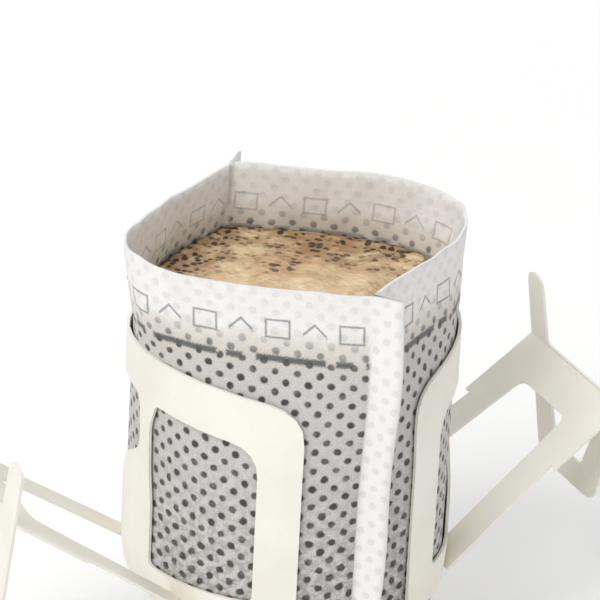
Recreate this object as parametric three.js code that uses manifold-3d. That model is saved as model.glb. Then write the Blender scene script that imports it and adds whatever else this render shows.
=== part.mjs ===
// A single-cup drip coffee bag, torn open and spread out on its two folded card hangers.
// Millimetres, +Z up. X runs from one hanger to the other, and Y from one side seal to the other.
// The origin is the middle of the bottom seal's lower edge.

import * as THREE from "three";
import { mergeVertices } from "three/addons/utils/BufferGeometryUtils.js";
import Module from "manifold-3d";

const wasm = await Module();
wasm.setup();

// Filter bag
const bagWidth = 74;
const sideSealWidth = 4;
const bottomSealHeight = 4;
const fabricThickness = 0.35;
const mouthHeight = 68;
const mouthReach = 22;
const bellyReach = 21;
const bellyFloorHeight = 22;
const bellyTopHeight = 36;
const sealLeanDegrees = 38;

// Ground coffee inside
const coffeeLevel = 58.5;
const coffeeCrown = 1.2;
const coffeeGap = 0.3;
const crownShares = [0.9, 0.66, 0.36];

// Card hangers: the frame that is glued to the bag
const cardThickness = 0.4;
const glueGap = 0.3;
const frameWidth = 50;
const frameFoot = 19;
const frameTop = 52;
const frameCorner = 5;
const legWidth = 5.5;
const footBand = 5;
const topBand = 6.2;
const tongueNear = 3.6;
const tongueFar = 10;
const tongueNeck = 2.4;
const windowCorner = 4;
const cutCorner = 1;
const frameFootCorner = 1.5;
const neckInset = 0.6;
const neckFlare = 1.4;
const flareDrop = 3;
const neckDrop = 8;
const shoulderDrop = 13;
const throatDrop = 6.5;
const lobeTopDrop = 9.5;
const lobeDrop = 17;
const lobeSlope = 5;
const lobeCorner = 2;

// Card hangers: the ear that hooks over a cup's rim
const earRootReach = 18;
const earRootHeight = 20;
const earReach = 44;
const earHeight = 39;
const armWidth = 5;
const armSpreadAtRoot = 11;
const armSpreadAtHead = 8.6;
const headWidth = 6;
const headLength = 25;
const barbDepth = 1.6;
const barbLength = 8;
const barbInset = 2;
const barbNick = 0.4;
const barbTip = 0.6;
const headShoulder = 1;
const strapWidth = 4;
const strapDrop = 17;
const tabRise = 9;
const strapSpreadAtFoot = 11;
const strapSpreadAtTop = 26;
const strapFootCorner = 2.5;
const tabCorner = 1.9;
const notchRise = 0.4;
const slotDrop = 3;

// How finely curved pieces are cut
const panelSteps = 22;
const bendStep = 2.8;
const riseStep = 11.1;

const panelWidth = bagWidth - 2 * sideSealWidth;
const sealLean = THREE.MathUtils.degToRad(sealLeanDegrees);

// Solids

function closedGeometry(positions, triangles) {
  const geometry = new THREE.BufferGeometry();
  geometry.setAttribute("position", new THREE.Float32BufferAttribute(positions, 3));
  geometry.setIndex(triangles);
  return geometry;
}

function signedVolume(geometry) {
  const position = geometry.attributes.position;
  const index = geometry.index;
  const a = new THREE.Vector3();
  const b = new THREE.Vector3();
  const c = new THREE.Vector3();
  let total = 0;
  for (let corner = 0; corner < index.count; corner += 3) {
    a.fromBufferAttribute(position, index.getX(corner));
    b.fromBufferAttribute(position, index.getX(corner + 1));
    c.fromBufferAttribute(position, index.getX(corner + 2));
    total += a.dot(b.cross(c)) / 6;
  }
  return total;
}

function toSolid(geometry) {
  const bare = geometry.clone();
  bare.deleteAttribute("normal");
  bare.deleteAttribute("uv");
  const merged = mergeVertices(bare, 1e-4);
  const triVerts = Uint32Array.from(merged.index.array);
  if (signedVolume(merged) < 0) {
    for (let corner = 0; corner < triVerts.length; corner += 3) {
      [triVerts[corner], triVerts[corner + 1]] = [triVerts[corner + 1], triVerts[corner]];
    }
  }
  const vertProperties = Float32Array.from(merged.attributes.position.array);
  return new wasm.Manifold(new wasm.Mesh({ numProp: 3, vertProperties, triVerts }));
}

function toGeometry(solid) {
  const mesh = solid.getMesh();
  const geometry = new THREE.BufferGeometry();
  geometry.setAttribute("position", new THREE.BufferAttribute(mesh.vertProperties, 3));
  geometry.setIndex(new THREE.BufferAttribute(mesh.triVerts, 1));
  geometry.computeVertexNormals();
  return geometry;
}

// A solid through a stack of rings that each hold as many points, closed at both ends
function loft(rings) {
  const count = rings[0].length;
  const positions = [];
  const triangles = [];
  rings.forEach((ring) => ring.forEach((point) => positions.push(point.x, point.y, point.z)));
  for (let level = 0; level < rings.length - 1; level += 1) {
    for (let step = 0; step < count; step += 1) {
      const here = level * count + step;
      const next = level * count + ((step + 1) % count);
      triangles.push(here, next, next + count);
      triangles.push(here, next + count, here + count);
    }
  }
  [0, rings.length - 1].forEach((level) => {
    const middle = new THREE.Vector3();
    rings[level].forEach((point) => middle.addScaledVector(point, 1 / count));
    const hub = positions.length / 3;
    positions.push(middle.x, middle.y, middle.z);
    for (let step = 0; step < count; step += 1) {
      const here = level * count + step;
      const next = level * count + ((step + 1) % count);
      triangles.push(...(level === 0 ? [hub, next, here] : [hub, here, next]));
    }
  });
  return toSolid(closedGeometry(positions, triangles));
}

// Shape of the spread bag

// How far a panel stands out from the plane of the side seals
function reachAt(height) {
  if (height <= bottomSealHeight) {
    return 0;
  }
  if (height < bellyFloorHeight) {
    const part = (height - bottomSealHeight) / (bellyFloorHeight - bottomSealHeight);
    return bellyReach * Math.sin((part * Math.PI) / 2);
  }
  return bellyReach + (mouthReach - bellyReach) * spreadAt(height);
}

// 0 where wet coffee fills the bag out round, 1 at the mouth, where the seals pull it to two points
function spreadAt(height) {
  return THREE.MathUtils.smoothstep(height, bellyTopHeight, mouthHeight);
}

function sectionPoint(turn, reach, halfDepth, spread) {
  const round = Math.sin(turn);
  const pointed = (2 * turn) / Math.PI;
  return new THREE.Vector2(
    reach * Math.cos(turn),
    halfDepth * THREE.MathUtils.lerp(round, pointed, spread),
  );
}

function arcLength(toTurn, reach, halfDepth, spread) {
  const steps = 24;
  let length = 0;
  let last = sectionPoint(0, reach, halfDepth, spread);
  for (let step = 1; step <= steps; step += 1) {
    const point = sectionPoint((toTurn * step) / steps, reach, halfDepth, spread);
    length += point.distanceTo(last);
    last = point;
  }
  return length;
}

// The fabric doesn't stretch, so a section that stands out further is less deep
function halfDepthAt(height) {
  const reach = reachAt(height);
  const spread = spreadAt(height);
  let low = 0;
  let high = panelWidth / 2 + 0.01;
  for (let pass = 0; pass < 30; pass += 1) {
    const middle = (low + high) / 2;
    if (arcLength(Math.PI / 2, reach, middle, spread) < panelWidth / 2) {
      low = middle;
    } else {
      high = middle;
    }
  }
  return high;
}

// A point of the panel at +X, with offset measured outwards from the fabric's inner face
function panelPoint(turn, height, offset) {
  const step = 0.01;
  const place = (atTurn, atHeight) => {
    const flat = sectionPoint(atTurn, reachAt(atHeight), halfDepthAt(atHeight), spreadAt(atHeight));
    return new THREE.Vector3(flat.x, flat.y, atHeight);
  };
  const point = place(turn, height);
  const steepest = Math.PI / 2 - step;
  const inward = THREE.MathUtils.clamp(turn, -steepest, steepest);
  const along = place(inward + step, height).sub(place(inward - step, height));
  const upper = Math.min(height + step, mouthHeight);
  const lower = Math.max(height - step, 0);
  const up = place(inward, upper).sub(place(inward, lower));
  const normal = along.cross(up).normalize();
  if (height <= bottomSealHeight) {
    normal.set(1, 0, 0);
  }
  return point.addScaledVector(normal, offset);
}

// The whole section: the panel at +X and the same panel turned half round
function sectionRing(height, offset) {
  const ring = [];
  for (const side of [1, -1]) {
    for (let step = 0; step < panelSteps; step += 1) {
      const turn = -Math.PI / 2 + (Math.PI * step) / panelSteps;
      const point = panelPoint(turn, height, offset);
      if (step === 0) {
        point.x = 0;
        point.y = -halfDepthAt(height) - offset;
      }
      ring.push(new THREE.Vector3(side * point.x, side * point.y, point.z));
    }
  }
  return ring;
}

function levels(from, to, count) {
  return Array.from({ length: count + 1 }, (_, step) => from + ((to - from) * step) / count);
}

// Filter bag

function sideSeal(side) {
  const rings = [0, ...levels(bottomSealHeight, mouthHeight, 20)].map((height) => {
    const lean = sealLean * THREE.MathUtils.smoothstep(height, bottomSealHeight, bellyTopHeight);
    const outward = new THREE.Vector3(Math.sin(lean), side * Math.cos(lean), 0);
    const across = new THREE.Vector3(outward.y, -outward.x, 0);
    const corner = new THREE.Vector3(0, side * halfDepthAt(height), height);
    const root = corner.clone().addScaledVector(outward, -fabricThickness);
    const tip = corner.clone().addScaledVector(outward, sideSealWidth);
    return [[root, 1], [tip, 1], [tip, -1], [root, -1]].map(([point, face]) =>
      point.clone().addScaledVector(across, face * fabricThickness),
    );
  });
  return loft(rings);
}

function filterBag() {
  const floorLevels = levels(bottomSealHeight, bellyFloorHeight, 7);
  const wallLevels = levels(bellyFloorHeight, mouthHeight, 11).slice(1);
  const bodyLevels = [...floorLevels, ...wallLevels];
  const outside = loft([0, ...bodyLevels].map((height) => sectionRing(height, fabricThickness)));
  const insideRings = bodyLevels.slice(1).map((height) => sectionRing(height, 0));
  const above = insideRings.at(-1).map((point) => new THREE.Vector3(point.x, point.y, point.z + 1));
  const inside = loft([...insideRings, above]);
  return outside.add(sideSeal(1)).add(sideSeal(-1)).subtract(inside);
}

// Ground coffee, wet and swollen, with the bloom that stands on it

function coffeeBed() {
  const floor = bottomSealHeight + 3 * fabricThickness + 2;
  const lowLevels = levels(floor, bellyFloorHeight, 6);
  const highLevels = levels(bellyFloorHeight, coffeeLevel, 8).slice(1);
  const bedLevels = [...lowLevels, ...highLevels];
  const rings = bedLevels.map((height) => sectionRing(height, -coffeeGap));
  const rim = rings.at(-1);
  crownShares.forEach((share) => {
    const rise = coffeeCrown * (1 - share * share);
    rings.push(rim.map((point) => new THREE.Vector3(point.x * share, point.y * share, point.z + rise)));
  });
  return loft(rings);
}

// Flat outlines

// A closed outline whose corners are given as [across, along, radius]
function roundedOutline(path, corners) {
  corners.forEach(([across, along, radius], index) => {
    const corner = new THREE.Vector2(across, along);
    const [lastAcross, lastAlong] = corners.at(index - 1);
    const [nextAcross, nextAlong] = corners[(index + 1) % corners.length];
    const last = new THREE.Vector2(lastAcross, lastAlong).sub(corner).setLength(radius).add(corner);
    const next = new THREE.Vector2(nextAcross, nextAlong).sub(corner).setLength(radius).add(corner);
    if (index === 0) {
      path.moveTo(last.x, last.y);
    } else {
      path.lineTo(last.x, last.y);
    }
    if (radius > 0) {
      path.quadraticCurveTo(corner.x, corner.y, next.x, next.y);
    }
  });
  path.closePath();
  return path;
}

// Cuts flat convex polygons along one line, so that neighbours still share their corners
function splitAlong(polygons, component, level) {
  const tiny = 1e-7;
  const pieces = [];
  polygons.forEach((polygon) => {
    const below = [];
    const above = [];
    polygon.forEach((point, index) => {
      const next = polygon[(index + 1) % polygon.length];
      const here = point.getComponent(component) - level;
      const there = next.getComponent(component) - level;
      if (here <= tiny) {
        below.push(point);
      }
      if (here >= -tiny) {
        above.push(point);
      }
      if (Math.abs(here) > tiny && Math.abs(there) > tiny && here * there < 0) {
        const crossing = point.clone().lerp(next, here / (here - there));
        below.push(crossing);
        above.push(crossing);
      }
    });
    pieces.push(...[below, above].filter((piece) => piece.length > 2));
  });
  return pieces;
}

// A sheet of card: a flat outline with holes, laid out by place(). A sheet that bends is first cut
// into facets, in steps across and along it.
function sheet(shape, place, lowFace, highFace, steps) {
  const { shape: contour, holes } = shape.extractPoints(4);
  const faces = THREE.ShapeUtils.triangulateShape(contour, holes);
  const corners = [...contour, ...holes.flat()];
  let polygons = faces.map((face) => face.map((index) => corners[index]));
  const bounds = new THREE.Box2().setFromPoints(contour);
  steps.forEach((step, component) => {
    const from = bounds.min.getComponent(component);
    const to = bounds.max.getComponent(component);
    const count = Math.ceil((to - from) / step);
    levels(from, to, count).slice(1, -1).forEach((level) => {
      polygons = splitAlong(polygons, component, level);
    });
  });

  const points = [];
  const known = new Map();
  const indexOf = (point) => {
    const key = `${point.x.toFixed(5)} ${point.y.toFixed(5)}`;
    if (!known.has(key)) {
      known.set(key, points.length);
      points.push(point);
    }
    return known.get(key);
  };
  const flatTriangles = [];
  polygons.forEach((polygon) => {
    const ring = polygon.map(indexOf).filter((index, at, all) => index !== all.at(at - 1));
    for (let corner = 1; corner < ring.length - 1; corner += 1) {
      flatTriangles.push([ring[0], ring[corner], ring[corner + 1]]);
    }
  });

  const positions = [];
  [lowFace, highFace].forEach((offset) => {
    points.forEach((point) => positions.push(...place(point.x, point.y, offset).toArray()));
  });
  const count = points.length;
  const triangles = [];
  const edges = new Set();
  flatTriangles.forEach(([a, b, c]) => {
    triangles.push(a, c, b, a + count, b + count, c + count);
    [[a, b], [b, c], [c, a]].forEach(([from, to]) => edges.add(`${from} ${to}`));
  });
  edges.forEach((edge) => {
    const [from, to] = edge.split(" ").map(Number);
    if (!edges.has(`${to} ${from}`)) {
      triangles.push(from, to, to + count, from, to + count, from + count);
    }
  });
  return toSolid(closedGeometry(positions, triangles));
}

// Card hangers

// Turns an arc length from the panel's middle line into the angle that panelPoint() takes
function turnAt(arc, height) {
  const reach = reachAt(height);
  const halfDepth = halfDepthAt(height);
  const spread = spreadAt(height);
  let low = 0;
  let high = Math.PI / 2;
  for (let pass = 0; pass < 26; pass += 1) {
    const middle = (low + high) / 2;
    if (arcLength(middle, reach, halfDepth, spread) < Math.abs(arc)) {
      low = middle;
    } else {
      high = middle;
    }
  }
  return Math.sign(arc) * high;
}

function hangerFrame() {
  const half = frameWidth / 2;
  const windowSide = half - legWidth;
  const windowFoot = frameFoot + footBand;
  const windowTop = frameTop - topBand;
  const outline = roundedOutline(new THREE.Shape(), [
    [-half, frameFoot, frameFootCorner],
    [half, frameFoot, frameFootCorner],
    [half, frameTop, frameCorner],
    [-half, frameTop, frameCorner],
  ]);
  const neckSide = tongueNear - neckInset;
  const neckFar = neckSide - tongueNeck;
  const wideWindow = [
    [windowSide, windowFoot, cutCorner],
    [windowSide, windowTop, windowCorner],
    [neckSide + neckFlare, windowTop, neckInset],
    [neckSide, windowTop - flareDrop, cutCorner],
    [neckSide, windowTop - neckDrop, cutCorner],
    [tongueNear, windowTop - shoulderDrop, cutCorner],
    [tongueNear, windowFoot, cutCorner],
  ];
  const narrowWindow = [
    [-windowSide, windowFoot, cutCorner],
    [-tongueFar, windowFoot, cutCorner],
    [-tongueFar, windowTop - lobeDrop, lobeCorner],
    [-tongueFar + lobeSlope, windowTop - lobeTopDrop, lobeCorner],
    [neckFar, windowTop - throatDrop, frameFootCorner],
    [neckFar, windowTop, frameFootCorner],
    [-windowSide, windowTop, windowCorner],
  ];
  const flip = ([arc, height, radius]) => [-arc, height, radius];
  outline.holes.push(roundedOutline(new THREE.Path(), wideWindow.map(flip)));
  outline.holes.push(roundedOutline(new THREE.Path(), narrowWindow.map(flip)));
  const inner = fabricThickness + glueGap;
  const place = (arc, height, offset) => panelPoint(turnAt(-arc, height), height, offset);
  return sheet(outline, place, inner, inner + cardThickness, [bendStep, riseStep]);
}

// The two arms and the head that joins them, on a plane that rises from the bag to the rim
function earArms() {
  const rise = earHeight - earRootHeight;
  const run = earReach - earRootReach;
  const length = Math.hypot(rise, run);
  const headFoot = length - headWidth;
  const barbFoot = headFoot - barbLength + barbInset;
  const innerRoot = armSpreadAtRoot - armWidth / 2;
  const outerRoot = armSpreadAtRoot + armWidth / 2;
  const innerHead = armSpreadAtHead - armWidth / 2;
  const outerHead = armSpreadAtHead + armWidth / 2;
  const corner = headLength / 2;
  const outline = roundedOutline(new THREE.Shape(), [
    [-outerRoot, 0, 0],
    [-innerRoot, 0, 0],
    [-innerHead, headFoot, 1.5],
    [innerHead, headFoot, 1.5],
    [innerRoot, 0, 0],
    [outerRoot, 0, 0],
    [outerHead + barbNick, barbFoot, 0.3],
    [outerHead + barbDepth, barbFoot - barbTip, 0.5],
    [corner, headFoot + headShoulder, 2],
    [corner, length, 0.6],
    [-corner, length, 0.6],
    [-corner, headFoot + headShoulder, 2],
    [-outerHead - barbDepth, barbFoot - barbTip, 0.5],
    [-outerHead - barbNick, barbFoot, 0.3],
  ]);
  const along = new THREE.Vector3(run, 0, rise).normalize();
  const normal = new THREE.Vector3(-along.z, 0, along.x);
  const place = (across, distance, offset) =>
    new THREE.Vector3(earRootReach, across, earRootHeight)
      .addScaledVector(along, distance)
      .addScaledVector(normal, offset);
  return sheet(outline, place, -cardThickness / 2, cardThickness / 2, []);
}

// The strap that hangs outside the cup, with its two upright tabs
function earStrap() {
  const foot = earHeight - strapDrop;
  const top = earHeight + tabRise;
  const outerFoot = strapSpreadAtFoot / 2 + strapWidth / 2;
  const innerFoot = strapSpreadAtFoot / 2 - strapWidth / 2;
  const outerTop = strapSpreadAtTop / 2 + strapWidth / 2;
  const innerTop = strapSpreadAtTop / 2 - strapWidth / 2;
  const headShare = (tabRise + 1) / (tabRise + strapDrop);
  const innerHead = THREE.MathUtils.lerp(innerTop, innerFoot, headShare);
  const outline = roundedOutline(new THREE.Shape(), [
    [-outerFoot, foot, strapFootCorner],
    [outerFoot, foot, strapFootCorner],
    [outerTop, top, tabCorner],
    [innerTop, top, tabCorner],
    [innerHead, earHeight + notchRise, 0.8],
    [-innerHead, earHeight + notchRise, 0.8],
    [-innerTop, top, tabCorner],
    [-outerTop, top, tabCorner],
  ]);
  const legShare = (tabRise + slotDrop) / (tabRise + strapDrop);
  const innerLeg = THREE.MathUtils.lerp(innerTop, innerFoot, legShare);
  outline.holes.push(
    roundedOutline(new THREE.Path(), [
      [-innerFoot, foot + strapWidth, 1],
      [-innerLeg, earHeight - slotDrop, cutCorner],
      [innerLeg, earHeight - slotDrop, cutCorner],
      [innerFoot, foot + strapWidth, 1],
    ]),
  );
  const place = (across, height, offset) => new THREE.Vector3(earReach + offset, across, height);
  return sheet(outline, place, -cardThickness / 2, cardThickness / 2, []);
}

function hanger() {
  const clearLevels = levels(frameFoot - 12, mouthHeight, 18);
  const clearance = fabricThickness + glueGap;
  const keepOut = loft(clearLevels.map((height) => sectionRing(height, clearance)));
  const ear = earArms().subtract(keepOut);
  return hangerFrame().add(ear).add(earStrap());
}

// The object

const nonWoven = new THREE.MeshStandardMaterial({ color: 0xe9e8e6, roughness: 0.9, metalness: 0 });
const card = new THREE.MeshStandardMaterial({ color: 0xeeebe0, roughness: 0.75, metalness: 0 });
const wetCoffee = new THREE.MeshStandardMaterial({ color: 0xb08d62, roughness: 0.55, metalness: 0 });

function namedMesh(name, solid, material) {
  const mesh = new THREE.Mesh(toGeometry(solid), material);
  mesh.name = name;
  return mesh;
}

const dripCoffeeBag = new THREE.Group();
dripCoffeeBag.add(namedMesh("filter_bag", filterBag(), nonWoven));
dripCoffeeBag.add(namedMesh("ground_coffee", coffeeBed(), wetCoffee));

const hangerSolid = hanger();
const rightHanger = namedMesh("right_hanger", hangerSolid, card);
const leftHanger = namedMesh("left_hanger", hangerSolid, card);
leftHanger.rotation.z = Math.PI;
dripCoffeeBag.add(rightHanger, leftHanger);

export default dripCoffeeBag;
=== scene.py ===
# Looks for an opened drip coffee bag that hangs by two folded card ears.
import math
from functools import partial

import bmesh
import bpy
import numpy as np
from mathutils import Matrix, Vector


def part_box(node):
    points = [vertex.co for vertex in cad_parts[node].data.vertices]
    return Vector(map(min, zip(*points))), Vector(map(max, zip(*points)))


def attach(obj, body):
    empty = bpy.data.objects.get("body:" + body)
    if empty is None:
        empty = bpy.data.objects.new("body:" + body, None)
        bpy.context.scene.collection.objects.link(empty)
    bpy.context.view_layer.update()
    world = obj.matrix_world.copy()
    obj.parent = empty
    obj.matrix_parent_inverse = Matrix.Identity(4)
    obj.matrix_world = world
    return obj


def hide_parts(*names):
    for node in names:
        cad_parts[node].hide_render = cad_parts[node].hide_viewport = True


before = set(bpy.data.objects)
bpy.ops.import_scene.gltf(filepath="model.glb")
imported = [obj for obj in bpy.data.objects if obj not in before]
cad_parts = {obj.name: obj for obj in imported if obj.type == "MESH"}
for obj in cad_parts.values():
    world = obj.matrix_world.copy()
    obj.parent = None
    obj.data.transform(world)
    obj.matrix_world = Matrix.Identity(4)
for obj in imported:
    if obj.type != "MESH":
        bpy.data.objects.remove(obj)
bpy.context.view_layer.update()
millimetre = 0.001
quarterTurn = math.pi / 2
fullTurn = 2 * math.pi

bagLow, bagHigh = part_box("filter_bag")
coffeeLow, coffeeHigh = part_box("ground_coffee")

# The pouch, in millimetres. Its height and flat width come from the frame.
pouch = {
    "mouthHeight": bagHigh.z / millimetre,
    "flatWidth": (bagHigh.y - bagLow.y) / millimetre,
    "fabric": 0.35,
    "mouthReach": 22.0,
    "mouthFlare": 1.5,  # the cloth above the card bulges by this much more
    "flareFoot": 52.5,
    "bellyReach": 21.0,
    "bellyFloor": 22.0,
    "bellyTop": 36.0,
    "sideSeal": 4.0,
    "bottomSeal": 4.0,
    "sealLean": math.radians(38),
    "sealPressed": 0.55,  # thickness left at a seal's outer edge, as a share
    "sealRipple": 0.35,
    "rippleLength": 5.3,
    "innerFoot": 0.6,  # height of the inside's lowest ring over the bottom seal
    "innerInset": 0.05,
    "tornEdge": 0.14,
    "tornMiddle": 0.6,
    "tornReach": 7.0,
    "tornWaves": ((2.0, 3, 0.6), (1.0, 7, 0.0), (0.3, 23, 1.0)),  # size, count, phase
    "panelSteps": 110,
    "sealSteps": 5,
    "sealRows": 4,
    "wallRows": 96,
    "innerRows": 60,
}
pouch["panelWidth"] = pouch["flatWidth"] - 2 * pouch["sideSeal"]

# Soft dents of wet cloth, in millimetres. Each wave has a size, a length round the panel, a
# length up it, a phase, and how far that is turned, forwards on one panel and back on the other.
dents = {
    "waves": (
        (0.20, 27.0, 43.0, 0.0, 1.9),
        (0.13, 12.7, -31.0, 0.7, 1.0),
        (0.06, 6.1, 11.3, 2.2, 0.0),
    ),
    "behindCard": 0.35,
    "aboveCard": 0.9,
    "belowCard": 0.5,
    "cardTop": (51, 58),
    "cardFoot": (12, 20),
}


# 0 below low, 1 above high, and between them three times the share squared less twice its cube
def smooth(value, low, high):
    share = np.clip((np.asarray(value, float) - low) / (high - low), 0, 1)
    return share * share * (3 - 2 * share)


# 0 where the section is round, 1 at the mouth, where the seals pull it to two points
def spreadAt(height):
    return smooth(height, pouch["bellyTop"], pouch["mouthHeight"])


# How far a panel stands out from the plane of the seals: a quarter sine up to the belly's floor,
# then a smooth step from the belly's reach to the mouth's, and a flare above the card
def reachAt(height):
    height = np.asarray(height, float)
    floorRise = pouch["bellyFloor"] - pouch["bottomSeal"]
    floorShare = np.clip((height - pouch["bottomSeal"]) / floorRise, 0, 1)
    belly = pouch["bellyReach"] * np.sin(floorShare * quarterTurn)
    flare = pouch["mouthFlare"] * smooth(height, pouch["flareFoot"], pouch["mouthHeight"])
    return belly + (pouch["mouthReach"] - pouch["bellyReach"]) * spreadAt(height) + flare


# A section at a turn between minus and plus a quarter: across is the reach times the turn's
# cosine, and along is the half depth times a blend of the turn's sine and the turn itself
def sectionAt(turn, reach, depth, spread):
    along = depth * ((1 - spread) * np.sin(turn) + spread * turn / quarterTurn)
    return reach * np.cos(turn), along


# Half depth of each section, found by halving, so that a panel keeps its own width of fabric
def halfDepthAt(height):
    height = np.atleast_1d(np.asarray(height, float))
    reach = reachAt(height)[:, None]
    spread = spreadAt(height)[:, None]
    halfPanel = pouch["panelWidth"] / 2
    turn = np.linspace(0, quarterTurn, 120)[None, :]
    low = np.zeros(len(height))
    high = np.full(len(height), halfPanel + 0.01)
    for halving in range(32):
        middle = (low + high) / 2
        across, along = sectionAt(turn, reach, middle[:, None], spread)
        length = np.hypot(np.diff(across), np.diff(along)).sum(axis=1)
        short = length < halfPanel
        low = np.where(short, middle, low)
        high = np.where(short, high, middle)
    return high


# The panel at +X as a grid, with heights down its rows and turns along them: its points, its
# normals, which are the cross products of its two slopes, and its arc lengths from the middle
def panelGrid(height, turn):
    reach = reachAt(height)[:, None]
    spread = spreadAt(height)[:, None]
    depth = halfDepthAt(height)[:, None]
    across, along = sectionAt(turn[None, :], reach, depth, spread)
    points = np.stack([across, along, np.broadcast_to(height[:, None], across.shape)], axis=-1)
    normal = np.cross(np.gradient(points, axis=1), np.gradient(points, axis=0))
    normal /= np.maximum(np.linalg.norm(normal, axis=-1, keepdims=True), 1e-9)
    normal[height <= pouch["bottomSeal"] + 0.05] = (1, 0, 0)
    step = np.linalg.norm(np.diff(points[..., :2], axis=1), axis=-1)
    arc = np.concatenate([np.zeros((len(height), 1)), np.cumsum(step, axis=1)], axis=1)
    arc -= arc[:, -1:] / 2
    return points, normal, arc


# The sum of the waves, each a sine of arc over length plus height over length, times how free
# the cloth is at that height, times the root of a cosine that dies out at the seals
def fabricDent(arc, height, side):
    free = dents["behindCard"] + dents["aboveCard"] * smooth(height, *dents["cardTop"])
    free = free + dents["belowCard"] * (1 - smooth(height, *dents["cardFoot"]))
    wave = sum(
        size * np.sin(fullTurn * (arc / length + height / rise) + phase + turned * side)
        for size, length, rise, phase, turned in dents["waves"]
    )
    fade = np.cos(np.clip(arc / (pouch["panelWidth"] / 2), -1, 1) * quarterTurn) ** 0.5
    return wave * free * fade


# Rings of the pouch, with their fabric coordinates, and 1 for a point on a panel. A ring is the
# +X panel moved out along its normals, one seal out and back, the same panel turned half round,
# and the other seal. A seal's point is the corner, plus a share of the seal's width outwards,
# plus the pressed cloth's thickness and a ripple sideways.
def pouchRings(height, offset, inner):
    turn = np.linspace(-quarterTurn, quarterTurn, pouch["panelSteps"] + 2)
    points, normal, arc = (grid[:, 1:-1] for grid in panelGrid(height, turn))
    lean = pouch["sealLean"] * smooth(height, pouch["bottomSeal"], pouch["bellyTop"])
    nothing = np.zeros(len(height))
    shares = np.linspace(0, 1, pouch["sealSteps"])
    rings, coordinates, onPanel = [], [], []
    for side in (1, -1):
        arcStart = 0 if side > 0 else pouch["panelWidth"]
        dent = fabricDent(arc, points[..., 2], side)
        panel = points + normal * (offset + dent)[..., None]
        panel[..., :2] *= side
        rings.append(panel)
        coordinates.append(np.stack([arc + arcStart, points[..., 2]], axis=-1))
        onPanel.append(np.ones(arc.shape))

        outward = np.stack([np.sin(lean), side * np.cos(lean), nothing], axis=-1)
        sideways = np.stack([outward[:, 1], -outward[:, 0], nothing], axis=-1)
        corner = np.stack([nothing, side * halfDepthAt(height), height], axis=-1)
        for face, order in ((1, shares), (-1, shares[::-1])):
            for share in order:
                if inner:
                    spot = corner - np.array([0, side * pouch["innerInset"], 0])
                else:
                    pressed = 1 - (1 - pouch["sealPressed"]) * share
                    ripple = share * np.sin(height / pouch["rippleLength"] + side)
                    across = pouch["fabric"] * pressed * face + pouch["sealRipple"] * ripple
                    spot = corner + outward * share * pouch["sideSeal"]
                    spot = spot + sideways * across[:, None]
                rings.append(spot[:, None, :])
                edgeArc = pouch["panelWidth"] / 2 + share * pouch["sideSeal"] * face + arcStart
                flat = np.full(len(height), edgeArc)
                coordinates.append(np.stack([flat, height], axis=-1)[:, None, :])
                onPanel.append(np.zeros((len(height), 1)))
    return [np.concatenate(columns, axis=1) for columns in (rings, coordinates, onPanel)]


# Joins points that lie on each other and shades smoothly, but for edges past the crease angle
def joinDoubles(mesh, distance, creaseDegrees=180):
    work = bmesh.new()
    work.from_mesh(mesh)
    bmesh.ops.remove_doubles(work, verts=work.verts, dist=distance)
    for face in work.faces:
        face.smooth = True
    for edge in work.edges:
        if len(edge.link_faces) == 2 and edge.calc_face_angle(0) > math.radians(creaseDegrees):
            edge.smooth = False
    work.to_mesh(mesh)
    work.free()


# A closed skin: rows of points in millimetres, each row a ring that is joined to the next by
# quads, with one face over the first ring and one over the last
def skinMesh(name, rows, attributes, uv=None):
    rowCount, ringCount = rows.shape[:2]
    points = rows.reshape(-1, 3) * millimetre
    row, spot = np.meshgrid(np.arange(rowCount - 1), np.arange(ringCount), indexing="ij")
    here = row * ringCount + spot
    following = row * ringCount + (spot + 1) % ringCount
    quads = np.stack([here, following, following + ringCount, here + ringCount], axis=-1)
    faces = quads.reshape(-1, 4).tolist()
    faces.append(list(range(ringCount))[::-1])
    faces.append(list(range((rowCount - 1) * ringCount, rowCount * ringCount)))
    mesh = bpy.data.meshes.new(name)
    mesh.from_pydata(points.tolist(), [], faces)
    for title, values in attributes.items():
        layer = mesh.attributes.new(title, "FLOAT", "POINT")
        layer.data.foreach_set("value", values.reshape(-1).astype(np.float32))
    if uv is not None:
        corners = np.zeros(len(mesh.loops), np.int32)
        mesh.loops.foreach_get("vertex_index", corners)
        layer = mesh.uv_layers.new(name="fabricUv")
        flat = uv.reshape(-1, 2)[corners]
        layer.data.foreach_set("uv", flat.reshape(-1).astype(np.float32))
    mesh.validate()
    joinDoubles(mesh, 1e-7)
    piece = bpy.data.objects.new(name, mesh)
    bpy.context.scene.collection.objects.link(piece)
    return piece


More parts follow.
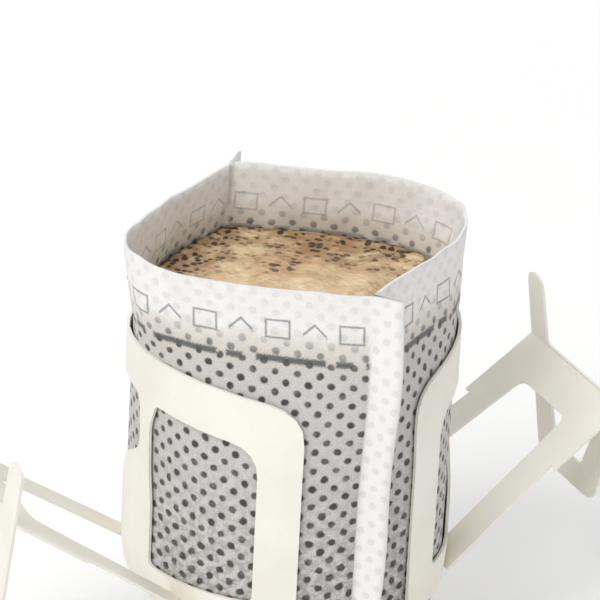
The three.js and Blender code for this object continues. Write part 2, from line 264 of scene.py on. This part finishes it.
# The pouch: its outer rings from the bottom up, then its inner rings from the mouth down
def makePouch():
    mouth = pouch["mouthHeight"]
    seal = pouch["bottomSeal"]
    sealHeight = np.linspace(0, seal, pouch["sealRows"])
    wallHeight = np.linspace(seal, mouth, pouch["wallRows"])[1:]
    innerHeight = np.linspace(mouth, seal + pouch["innerFoot"], pouch["innerRows"])
    outer = pouchRings(np.concatenate([sealHeight, wallHeight]), pouch["fabric"], False)
    inner = [grid[::-1] for grid in pouchRings(innerHeight[::-1], 0.0, True)]
    rows, uv, wall = (np.concatenate(pair) for pair in zip(outer, inner))
    inside = np.concatenate([np.zeros(outer[2].shape), np.ones(inner[2].shape)])

    # the torn mouth isn't quite level: a sum of sines round the ring, which fades below it
    ring = np.arange(rows.shape[1]) / rows.shape[1] * fullTurn
    torn = sum(size * np.sin(count * ring + phase) for size, count, phase in pouch["tornWaves"])
    fade = smooth(rows[..., 2], mouth - pouch["tornReach"], mouth)
    rows[..., 2] += pouch["tornEdge"] * (torn - pouch["tornMiddle"])[None, :] * fade
    piece = skinMesh("pouchFabric", rows, {"wall": wall, "inside": inside}, uv)
    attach(piece, "root")
    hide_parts("filter_bag")
    return piece


# The wet bed, in millimetres. Its floor and crown come from the frame.
coffee = {
    "level": 58.5,
    "floor": coffeeLow.z / millimetre,
    "gap": 0.3,
    "crownShare": 0.7,
    "broadRipple": (0.22, 2.9, 3.7),  # height, then lengths across and along
    "fineRipple": (0.12, 1.3, 1.7),
    "pitDepth": 0.35,
    "pitPlace": 0.93,  # share of the way from the middle to the wall
    "pitSpread": 0.05,
    "pitTurns": (1.9, 2.3),
    "calmRim": 0.12,
    "middleShare": 0.012,
    "panelSteps": 100,
    "rows": 22,
    "topRings": 70,
}
coffee["crown"] = coffeeHigh.z / millimetre - coffee["level"]


# The pouch's own sections a little smaller, closed by rings that are shares of the last one. The
# top rises by a part of the crown times one less the share squared. A product of two sines and a
# slanting sine ripple it, and a bell curve of the share times a sine makes pits near the wall.
def makeCoffee():
    height = np.linspace(coffee["floor"], coffee["level"], coffee["rows"])
    turn = np.linspace(-quarterTurn, quarterTurn, coffee["panelSteps"])
    points, normal, arc = (grid[:, :-1] for grid in panelGrid(height, turn))
    halves = []
    for side in (1, -1):
        dent = np.minimum(fabricDent(arc, points[..., 2], side), 0)
        panel = points - normal * (coffee["gap"] - dent)[..., None]
        panel[..., :2] *= side
        halves.append(panel)
    body = np.concatenate(halves, axis=1)

    rim = body[-1]
    share = np.linspace(1, coffee["middleShare"], coffee["topRings"])[1:, None]
    across = rim[None, :, 0] * share
    along = rim[None, :, 1] * share
    swell = coffee["crown"] * coffee["crownShare"] * (1 - share**2)
    broad, broadAcross, broadAlong = coffee["broadRipple"]
    fine, fineAcross, fineAlong = coffee["fineRipple"]
    ripple = broad * np.sin(across / broadAcross + 1) * np.sin(along / broadAlong)
    ripple = ripple + fine * np.sin(across / fineAcross - along / fineAlong)
    turnAcross, turnAlong = coffee["pitTurns"]
    bell = np.exp(-(((share - coffee["pitPlace"]) / coffee["pitSpread"]) ** 2))
    pits = coffee["pitDepth"] * bell * np.sin(across * turnAcross + along * turnAlong)
    relief = (ripple + pits) * smooth(1 - share, 0, coffee["calmRim"])
    top = np.stack([across, along, rim[None, :, 2] + swell + relief], axis=-1)

    rows = np.concatenate([body, top])
    edge = np.concatenate([np.ones(body.shape[:2]), np.broadcast_to(share, across.shape)])
    piece = skinMesh("wetCoffeeBed", rows, {"edge": edge})
    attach(piece, "root")
    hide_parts("ground_coffee")
    return piece


# The bow of each card's top band, in millimetres
card = {
    "bandBow": 2.8,
    "bowHeights": (34, 50),
    "halfWidth": 19.0,
    "bagReach": 23.2,
    "creaseDegrees": 25,
}


# A card is the frame's own solid, with its loose faces joined so that its bends shade smoothly.
# Its top band bows up, where the ear's pull lifts it, by the bow times one less the square of the
# way to its side, times a smooth step of the height.
def makeHanger(node, name):
    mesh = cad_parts[node].data.copy()
    mesh.materials.clear()
    piece = bpy.data.objects.new(name, mesh)
    bpy.context.scene.collection.objects.link(piece)
    places = np.zeros(len(mesh.vertices) * 3)
    mesh.vertices.foreach_get("co", places)
    places = places.reshape(-1, 3) / millimetre
    onBag = np.abs(places[:, 0]) < card["bagReach"]
    arch = np.clip(1 - (places[:, 1] / card["halfWidth"]) ** 2, 0, 1)
    arch = arch * smooth(places[:, 2], *card["bowHeights"])
    places[:, 2] += card["bandBow"] * arch * onBag
    mesh.vertices.foreach_set("co", (places * millimetre).reshape(-1))
    joinDoubles(mesh, 1e-6, card["creaseDegrees"])
    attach(piece, "root")
    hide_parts(node)
    return piece


# sRGB hex to linear red, green and blue, with full alpha
def colour(hexValue):
    channels = [int(hexValue[place : place + 2], 16) / 255 for place in (0, 2, 4)]
    linear = [c / 12.92 if c <= 0.04045 else ((c + 0.055) / 1.055) ** 2.4 for c in channels]
    return (*linear, 1.0)


# Adds a node of any kind, with its inputs by place or name, and its settings. An input that is a
# node, or an output of one, is linked, and any other is a value.
def addNode(tree, kind, inputs=(), **settings):
    node = tree.nodes.new("ShaderNode" + kind)
    for title, value in settings.items():
        setattr(node, title, value)
    for socket, value in inputs.items() if isinstance(inputs, dict) else enumerate(inputs):
        if isinstance(value, bpy.types.Node):
            value = next(output for output in value.outputs if output.enabled)
        if isinstance(value, bpy.types.NodeSocket):
            tree.links.new(value, node.inputs[socket])
        else:
            node.inputs[socket].default_value = value
    return node


smoothStep = {"interpolation_type": "SMOOTHSTEP"}
colourMix = {"data_type": "RGBA"}


# A new material, its own adder of nodes, and its shader with plain values set
def newMaterial(name, **values):
    material = bpy.data.materials.new(name)
    material.use_nodes = True
    shader = material.node_tree.nodes["Principled BSDF"]
    for socket, value in values.items():
        shader.inputs[socket.replace("_", " ")].default_value = value
    return material, partial(addNode, material.node_tree), shader


# Lays colours over each other in turn, each with its share
def layColours(add, base, layers):
    for share, over in layers:
        base = add("Mix", {0: share, 6: base, 7: over}, **colourMix)
    return base


def finishShader(material, shader, base, bump):
    colourOutput = next(output for output in base.outputs if output.enabled)
    material.node_tree.links.new(colourOutput, shader.inputs["Base Color"])
    material.node_tree.links.new(bump.outputs[0], shader.inputs["Normal"])
    return material


# Sizes and places on the cloth are millimetres
fabricLook = {
    "dry": "EBEAE8",
    "wet": "D0CCC9",
    "warm": "DCD0BC",
    "soakAndShade": "7C746B",
    "cloud": "8F8E8C",
    "dotDry": "DEDCD9",
    "dotWet": "3E3B39",
    "print": "47494A",
    "roughness": 0.82,
    "sheen": 0.15,
    "wanderSize": 2.9,
    "dotPitch": (2.85, 2.65),
    "dotRadius": 0.46,
    "dotVary": 0.3,
    "dotVarySize": 1.7,
    "dotSpread": 0.16,  # how much a dot grows where the cloth is soaked
    "dotFray": 0.5,
    "mottleSize": 1.1,
    "fibreSize": 0.22,  # real fibres are 0.02, too fine to show, so these are clumps of them
    "grainSize": 0.11,
    "pressDepth": 0.12,
    "soakAndShadeHeights": (54.0, 16.0),  # the first height of each pair has the least of it
    "soakRange": (0.08, 0.95),
    "soakAndShadeShare": 0.7,
    "wetWander": 3.0,
    "wetHeights": (64.5, 59.0),
    "tideTop": (65.0, 61.5),
    "tideFoot": (57.0, 60.0),
    "tideShare": 0.35,
    "stainHeights": (65.0, 60.0),
    "stainShare": 0.38,
    "dashHeight": 58.4,
    "dashHalf": 0.36,
    "dashPeriod": 14.0,
    "longDash": (4.6, 4.4),  # place of its middle, half its length
    "shortDash": (11.4, 1.0),
    "inkFray": 1.5,
    "markHeight": 62.4,
    "markPeriod": 4.7,
    "markHalfWidth": 1.5,
    "markHalfHeight": 1.2,
    "frameLine": 0.11,
    "arrowLine": 0.17,
    "arrowDrop": 1.0,
    "dashInk": 0.9,
    "markInk": 0.62,
    "insideFade": -0.45,
}


# Distance in millimetres to the nearest bond point of one lattice: the place in whole pitches,
# its fraction less a half, turned back to millimetres, and the length of that
def latticeDistance(add, place, shift):
    pitch = (*fabricLook["dotPitch"], 0)
    perPitch = (1 / pitch[0], 1 / pitch[1], 0)
    scaled = add("VectorMath", (place, perPitch, (shift, shift, 0)), operation="MULTIPLY_ADD")
    whole = add("VectorMath", (scaled,), operation="FRACTION")
    centred = add("VectorMath", (whole, (0.5, 0.5, 0)), operation="SUBTRACT")
    real = add("VectorMath", (centred, pitch), operation="MULTIPLY")
    return add("VectorMath", (real,), operation="LENGTH")


# How far a coordinate is from a place, less a half width: below nothing inside the band
def bandDistance(add, coordinate, middle, half):
    offset = add("Math", (coordinate, middle), operation="SUBTRACT")
    apart = add("Math", (offset,), operation="ABSOLUTE")
    return add("Math", (apart, half), operation="SUBTRACT")


# The tear line: a long dash, a gap, a short dash and a gap, with ragged ends and edges
def tearLine(add, across, height, ragged):
    cycle = add("Math", (across, fabricLook["dashPeriod"]), operation="FLOORED_MODULO")
    longDash = bandDistance(add, cycle, *fabricLook["longDash"])
    shortDash = bandDistance(add, cycle, *fabricLook["shortDash"])
    lengthwise = add("Math", (longDash, shortDash), operation="MINIMUM")
    band = bandDistance(add, height, fabricLook["dashHeight"], fabricLook["dashHalf"])
    dash = add("Math", (lengthwise, band), operation="MAXIMUM")
    smudged = add("Math", (dash, ragged), operation="ADD")
    return add("MapRange", (smudged, -0.14, 0.26, 1.0, 0.0), **smoothStep)


# Plain marks above it: by turns a thin upright frame and an arrowhead
def plainMarks(add, across, height, ragged):
    period = fabricLook["markPeriod"]
    halfWidth = fabricLook["markHalfWidth"]
    step = add("Math", (across, period * 2), operation="FLOORED_MODULO")
    markUp = add("Math", (height, fabricLook["markHeight"]), operation="SUBTRACT")
    frameSide = bandDistance(add, step, period / 2, halfWidth)
    frameRise = bandDistance(add, markUp, 0.0, fabricLook["markHalfHeight"])
    frameBox = add("Math", (frameSide, frameRise), operation="MAXIMUM")
    frameLine = bandDistance(add, frameBox, 0.0, fabricLook["frameLine"])

    arrowSide = bandDistance(add, step, period * 1.5, 0.0)
    slope = add("Math", (arrowSide, fabricLook["arrowDrop"]), operation="SUBTRACT")
    arrowRise = add("Math", (markUp, slope), operation="ADD")
    arrowBand = bandDistance(add, arrowRise, 0.0, fabricLook["arrowLine"])
    arrowEnd = add("Math", (arrowSide, halfWidth), operation="SUBTRACT")
    arrowLine = add("Math", (arrowBand, arrowEnd), operation="MAXIMUM")

    line = add("Math", (frameLine, arrowLine), operation="MINIMUM")
    line = add("Math", (ragged, 0.33, line), operation="MULTIPLY_ADD")
    return add("MapRange", (line, -0.08, 0.14, 1.0, 0.0), **smoothStep)


# Thermally bonded non-woven: matt white fibre with a faint sheen, pressed at a lattice of points
# that turn clear when wet, so that the dark bed shows through each of them
def nonWovenMaterial():
    look = fabricLook
    material, add, shader = newMaterial(
        "bondedNonWoven", Roughness=look["roughness"], Sheen_Weight=look["sheen"]
    )
    uv = add("UVMap", uv_map="fabricUv")
    wall = add("Attribute", attribute_name="wall").outputs["Fac"]
    inside = add("Attribute", attribute_name="inside").outputs["Fac"]
    place = add("SeparateXYZ", (uv,))
    across = place.outputs["X"]
    height = place.outputs["Y"]
    wander = add("TexNoise", {"Vector": uv, "Scale": 1 / look["wanderSize"], "Detail": 2.0})
    vary = add("TexNoise", {"Vector": uv, "Scale": 1 / look["dotVarySize"], "Detail": 3.0})
    mottle = add(
        "TexNoise", {"Vector": uv, "Scale": 1 / look["mottleSize"], "Detail": 6.0, "Roughness": 0.7}
    )
    fibre = add(
        "TexNoise", {"Vector": uv, "Scale": 1 / look["fibreSize"], "Detail": 8.0, "Roughness": 0.75}
    )
    grain = add("TexNoise", {"Vector": uv, "Scale": 1 / look["grainSize"], "Detail": 4.0})

    # the cloth is soaked in patches, more of them low down
    patch = add("MapRange", (mottle, 0.42, 0.57), **smoothStep)
    depth = add("MapRange", (height, *look["soakAndShadeHeights"], *look["soakRange"]), **smoothStep)
    soakAndShade = add("Math", (patch, depth), operation="MULTIPLY")
    soakAndShade = add("Math", (soakAndShade, wall), operation="MULTIPLY")

    # two lattices, half a pitch apart, with dots that wander, vary, fray and spread
    drift = add(
        "VectorMath", (wander.outputs["Color"], (0.5, 0.5, 0), uv), operation="MULTIPLY_ADD"
    )
    lattices = [latticeDistance(add, drift, shift) for shift in (0.0, 0.5)]
    near = add("Math", lattices, operation="MINIMUM")
    least = look["dotRadius"] - look["dotVary"] / 2
    radius = add("Math", (vary, look["dotVary"], least), operation="MULTIPLY_ADD")
    radius = add("Math", (soakAndShade, look["dotSpread"], radius), operation="MULTIPLY_ADD")
    fray = add("Math", (fibre, 0.5), operation="SUBTRACT")
    frayed = add("Math", (fray, look["dotFray"], near), operation="MULTIPLY_ADD")
    edge = add("Math", (frayed, radius), operation="SUBTRACT")
    dot = add("MapRange", (edge, -0.14, 0.15, 1.0, 0.0), **smoothStep)

    # the cloth is wet up to an uneven, warm tide mark, and the sealed edges stay white
    wavy = add("Math", (wander, look["wetWander"], height), operation="MULTIPLY_ADD")
    wetness = add("MapRange", (wavy, *look["wetHeights"]), **smoothStep)
    wetness = add("Math", (wetness, wall), operation="MULTIPLY")
    tideTop = add("MapRange", (wavy, *look["tideTop"], 0.0, look["tideShare"]), **smoothStep)
    tideFoot = add("MapRange", (wavy, *look["tideFoot"]), **smoothStep)
    tide = add("Math", (tideTop, tideFoot), operation="MULTIPLY")
    tide = add("Math", (tide, wall), operation="MULTIPLY")
    stainRange = (*look["stainHeights"], 0.0, look["stainShare"])
    innerStain = add("MapRange", (wavy, *stainRange), **smoothStep)
    innerStain = add("Math", (innerStain, inside), operation="MULTIPLY")
    soakedShare = add("Math", (soakAndShade, look["soakAndShadeShare"]), operation="MULTIPLY")
    cloudy = add("MapRange", (fibre, 0.42, 0.60, 0.0, 0.38), **smoothStep)
    cloudy = add("Math", (cloudy, wetness), operation="MULTIPLY")
    strength = add("MapRange", (vary, 0.25, 0.6, 0.72, 1.0), **smoothStep)
    dotShare = add("Math", (dot, strength), operation="MULTIPLY")
    dotColours = {0: wetness, 6: colour(look["dotDry"]), 7: colour(look["dotWet"])}
    dotColour = add("Mix", dotColours, **colourMix)

    # ink on the outside, which shows faintly through on the inside
    ragged = add("Math", (fibre, look["inkFray"], -look["inkFray"] / 2), operation="MULTIPLY_ADD")
    dash = tearLine(add, across, height, ragged)
    dash = add("Math", (dash, look["dashInk"]), operation="MULTIPLY")
    mark = plainMarks(add, across, height, ragged)
    mark = add("Math", (mark, look["markInk"]), operation="MULTIPLY")
    ink = add("Math", (dash, mark), operation="MAXIMUM")
    ink = add("Math", (ink, wall), operation="MULTIPLY")
    through = add("Math", (inside, look["insideFade"], 1.0), operation="MULTIPLY_ADD")
    ink = add("Math", (ink, through), operation="MULTIPLY")

    base = layColours(add, colour(look["dry"]), [
        (wetness, colour(look["wet"])),
        (tide, colour(look["warm"])),
        (innerStain, colour(look["warm"])),
        (soakedShare, colour(look["soakAndShade"])),
        (cloudy, colour(look["cloud"])),
        (dotShare, dotColour),
        (ink, colour(look["print"])),
    ])
    relief = add("Math", (dot, -1.0, grain), operation="MULTIPLY_ADD")
    pressed = look["pressDepth"] * millimetre
    bump = add("Bump", {"Strength": 0.35, "Distance": pressed, "Height": relief})
    return finishShader(material, shader, base, bump)


# Sizes are millimetres, and heights on the hanger are metres
cardLook = {
    "light": "EFECE3",
    "dark": "E8E4DA",
    "fibre": "DCD6C6",
    # painted shade: the warm cream colour of the card's shaded foot
    "soakAndShade": "DFD2B4",
    "roughness": 0.72,
    "cloudSize": 11.0,
    "fibreSize": 0.7,  # paper fibres are about a millimetre long
    "fibreRelief": 0.06,
    # where the card's painted shade starts and ends, and how uneven its edge is
    "shadeUneven": 0.012,
    "soakAndShadeHeights": (0.034, 0.016),
    "soakAndShadeShare": 0.5,
}


# Uncoated food card, rolled flat: off-white and matt, with short fibres that barely show, and a
# warmer, darker foot that is painted shade
def cardMaterial():
    look = cardLook
    material, add, shader = newMaterial("uncoatedCard", Roughness=look["roughness"])
    place = add("TexCoord").outputs["Object"]
    height = add("SeparateXYZ", (place,)).outputs["Z"]
    cloudScale = 1 / (look["cloudSize"] * millimetre)
    fibreScale = 1 / (look["fibreSize"] * millimetre)
    cloud = add("TexNoise", {"Vector": place, "Scale": cloudScale, "Detail": 3.0})
    fibre = add(
        "TexNoise", {"Vector": place, "Scale": fibreScale, "Detail": 5.0, "Roughness": 0.7}
    )
    darker = add("MapRange", (cloud, 0.3, 0.7), **smoothStep)
    fibrous = add("MapRange", (fibre, 0.55, 0.8, 0.0, 0.25), **smoothStep)
    # painted shade: the card grows warmer and darker toward its foot, with an uneven edge
    uneven = add("Math", (cloud, look["shadeUneven"], height), operation="MULTIPLY_ADD")
    soakAndShade = add("MapRange", (uneven, *look["soakAndShadeHeights"], 0.0, look["soakAndShadeShare"]), **smoothStep)
    base = layColours(add, colour(look["light"]), [
        (darker, colour(look["dark"])),
        (fibrous, colour(look["fibre"])),
        (soakAndShade, colour(look["soakAndShade"])),
    ])
    relief = look["fibreRelief"] * millimetre
    bump = add("Bump", {"Strength": 0.25, "Distance": relief, "Height": fibre})
    return finishShader(material, shader, base, bump)


# Sizes are millimetres
coffeeLook = {
    "bloom": "DFC79F",
    "crema": "B58D5E",
    "streak": "9A7446",
    "halo": "8A6440",
    "grounds": "35200F",
    "roughness": 0.38,
    "wetCoat": 0.25,
    "coatRoughness": 0.2,
    "cloudSize": 7.7,
    "streakSize": 2.4,
    "grainSize": 1.1,
    "bubbleSize": 0.9,
    "bubbleRelief": 0.3,
}


# Wet grounds under a tan bloom, with a thin wet gloss: fine bubbles on top, and dark grains in
# clumps, most of them gathered at the wall
def coffeeMaterial():
    look = coffeeLook
    material, add, shader = newMaterial(
        "bloomedCoffee", Roughness=look["roughness"], Coat_Weight=look["wetCoat"],
        Coat_Roughness=look["coatRoughness"],
    )
    place = add("TexCoord").outputs["Object"]
    edge = add("Attribute", attribute_name="edge").outputs["Fac"]
    sizes = ("cloudSize", "streakSize", "grainSize", "bubbleSize")
    scales = [1 / (look[size] * millimetre) for size in sizes]
    cloudScale, streakScale, grainScale, bubbleScale = scales
    cloud = add(
        "TexNoise", {"Vector": place, "Scale": cloudScale, "Detail": 6.0, "Roughness": 0.62}
    )
    streak = add("TexNoise", {"Vector": place, "Scale": streakScale, "Detail": 5.0})
    grains = add("TexVoronoi", {"Vector": place, "Scale": grainScale})
    bubbles = add("TexVoronoi", {"Vector": place, "Scale": bubbleScale})

    browner = add("MapRange", (cloud, 0.32, 0.68), **smoothStep)
    streaked = add("MapRange", (streak, 0.52, 0.75, 0.0, 0.6), **smoothStep)
    wallward = add("Math", (cloud, 1.2, edge), operation="MULTIPLY_ADD")
    atWall = add("MapRange", (wallward, 1.02, 1.34), **smoothStep)
    clump = add("MapRange", (streak, 0.34, 0.50), **smoothStep)
    gathered = add("Math", (atWall, clump), operation="MULTIPLY")
    halo = add("Math", (gathered, 0.55), operation="MULTIPLY")
    sparse = add("MapRange", (cloud, 0.54, 0.62), **smoothStep)
    where = add("Math", (gathered, sparse), operation="MAXIMUM")
    speckle = add("MapRange", (grains, 0.50, 0.34), **smoothStep)
    dark = add("Math", (where, speckle), operation="MULTIPLY")
    base = layColours(add, colour(look["bloom"]), [
        (browner, colour(look["crema"])),
        (streaked, colour(look["streak"])),
        (halo, colour(look["halo"])),
        (dark, colour(look["grounds"])),
    ])
    relief = add("Math", (dark, 0.8, bubbles), operation="MULTIPLY_ADD")
    rise = look["bubbleRelief"] * millimetre
    bump = add("Bump", {"Strength": 0.5, "Distance": rise, "Height": relief})
    return finishShader(material, shader, base, bump)


# Lengths are metres here. Each lamp has a name, a place, a size and a power in watts.
studio = {
    "floor": "FDFDFC",
    "floorHalf": 1.5,
    "floorDrop": 0.0005,
    "fadeStart": 0.07,
    "fadeEnd": 0.32,
    "worldLight": 0.5,
    "lampAim": (0, 0, 0.04),
    "lamps": (
        ("keyLamp", (-0.75, -0.35, 0.85), 0.6, 7.4),
        ("fillLamp", (0.8, -0.6, 0.6), 0.8, 1.5),
        ("topLamp", (0.1, 0.5, 1.0), 0.6, 2.6),
    ),
}


# 1 for a ray that the eye follows, straight or by a reflection
def seenRays(add):
    rays = add("LightPath").outputs
    mirrored = (rays["Is Glossy Ray"], rays["Is Transmission Ray"])
    mirrored = add("Math", mirrored, operation="MAXIMUM")
    return add("Math", (rays["Is Camera Ray"], mirrored), operation="MAXIMUM")


# A pale floor that fades into the white surround away from the bag, and keeps its shadow
def makeFloor():
    mesh = bpy.data.meshes.new("studioFloor")
    half = studio["floorHalf"]
    corners = [(-half, -half, 0), (half, -half, 0), (half, half, 0), (-half, half, 0)]
    mesh.from_pydata(corners, [], [(0, 1, 2, 3)])
    floor = bpy.data.objects.new("studioFloor", mesh)
    bpy.context.scene.collection.objects.link(floor)
    floor.location.z = -studio["floorDrop"]
    material, add, shader = newMaterial(
        "paleFloor", Base_Color=colour(studio["floor"]), Roughness=0.9
    )
    away = add("VectorMath", (add("TexCoord").outputs["Object"],), operation="LENGTH")
    fade = add("MapRange", (away, studio["fadeStart"], studio["fadeEnd"]), **smoothStep)
    share = add("Math", (fade, seenRays(add)), operation="MULTIPLY")
    glow = add("Emission", {"Color": (1, 1, 1, 1), "Strength": 1.0})
    blend = add("MixShader", (share, shader, glow))
    output = material.node_tree.nodes["Material Output"]
    material.node_tree.links.new(blend.outputs[0], output.inputs["Surface"])
    floor.data.materials.append(material)


# A white surround, which lights the bag at half its strength
def makeWorld():
    world = bpy.context.scene.world or bpy.data.worlds.new("studioWorld")
    bpy.context.scene.world = world
    world.use_nodes = True
    add = partial(addNode, world.node_tree)
    background = world.node_tree.nodes["Background"]
    background.inputs["Color"].default_value = (1, 1, 1, 1)
    lit = add("MapRange", (seenRays(add), 0.0, 1.0, studio["worldLight"], 1.0), **smoothStep)
    world.node_tree.links.new(lit.outputs[0], background.inputs["Strength"])


def makeLamps():
    for name, place, size, power in studio["lamps"]:
        lamp = bpy.data.lights.new(name, "AREA")
        lamp.size = size
        lamp.energy = power
        holder = bpy.data.objects.new(name, lamp)
        bpy.context.scene.collection.objects.link(holder)
        holder.location = place
        aim = Vector(studio["lampAim"]) - Vector(place)
        holder.rotation_euler = aim.to_track_quat("-Z", "Y").to_euler()


# The photograph's angle, found from the outline of the mouth
view = {
    "azimuth": math.radians(-27),
    "elevation": math.radians(26),
    "roll": math.radians(3.0),
    "distance": 0.45,
    "pixelsPerMillimetre": 7.72,
    "mouthPixel": (300, 226),
    "frame": 600,
    "sensor": 36,
}


# The camera looks at the point that puts the middle of the mouth on its pixel
def makeCamera():
    azimuth = view["azimuth"]
    elevation = view["elevation"]
    forward = Vector((
        -math.sin(azimuth) * math.cos(elevation),
        math.cos(azimuth) * math.cos(elevation),
        -math.sin(elevation),
    ))
    level = forward.cross(Vector((0, 0, 1))).normalized()
    sideways = Matrix.Rotation(-view["roll"], 3, forward) @ level
    upward = sideways.cross(forward)
    metresPerPixel = millimetre / view["pixelsPerMillimetre"]
    right, down = (
        (view["frame"] / 2 - pixel) * metresPerPixel for pixel in view["mouthPixel"]
    )
    mouth = Vector((0, 0, pouch["mouthHeight"] * millimetre))
    target = mouth + sideways * right - upward * down
    camera = bpy.data.cameras.new("photoCamera")
    camera.sensor_width = view["sensor"]
    camera.lens = view["distance"] / metresPerPixel / view["frame"] * view["sensor"]
    holder = bpy.data.objects.new("photoCamera", camera)
    bpy.context.scene.collection.objects.link(holder)
    turned = Matrix((sideways, upward, -forward)).transposed()
    place = target - forward * view["distance"]
    holder.matrix_world = Matrix.Translation(place) @ turned.to_4x4()
    bpy.context.scene.camera = holder


pouchFabric = makePouch()
pouchFabric.data.materials.append(nonWovenMaterial())
print("pouch made")

coffeeBed = makeCoffee()
coffeeBed.data.materials.append(coffeeMaterial())
print("coffee made")

cardFinish = cardMaterial()
for node, name in (("right_hanger", "rightCardHanger"), ("left_hanger", "leftCardHanger")):
    makeHanger(node, name).data.materials.append(cardFinish)
print("card hangers made")

makeFloor()
makeWorld()
makeLamps()
makeCamera()
bpy.context.scene.view_settings.view_transform = "Standard"
print("studio and camera made")
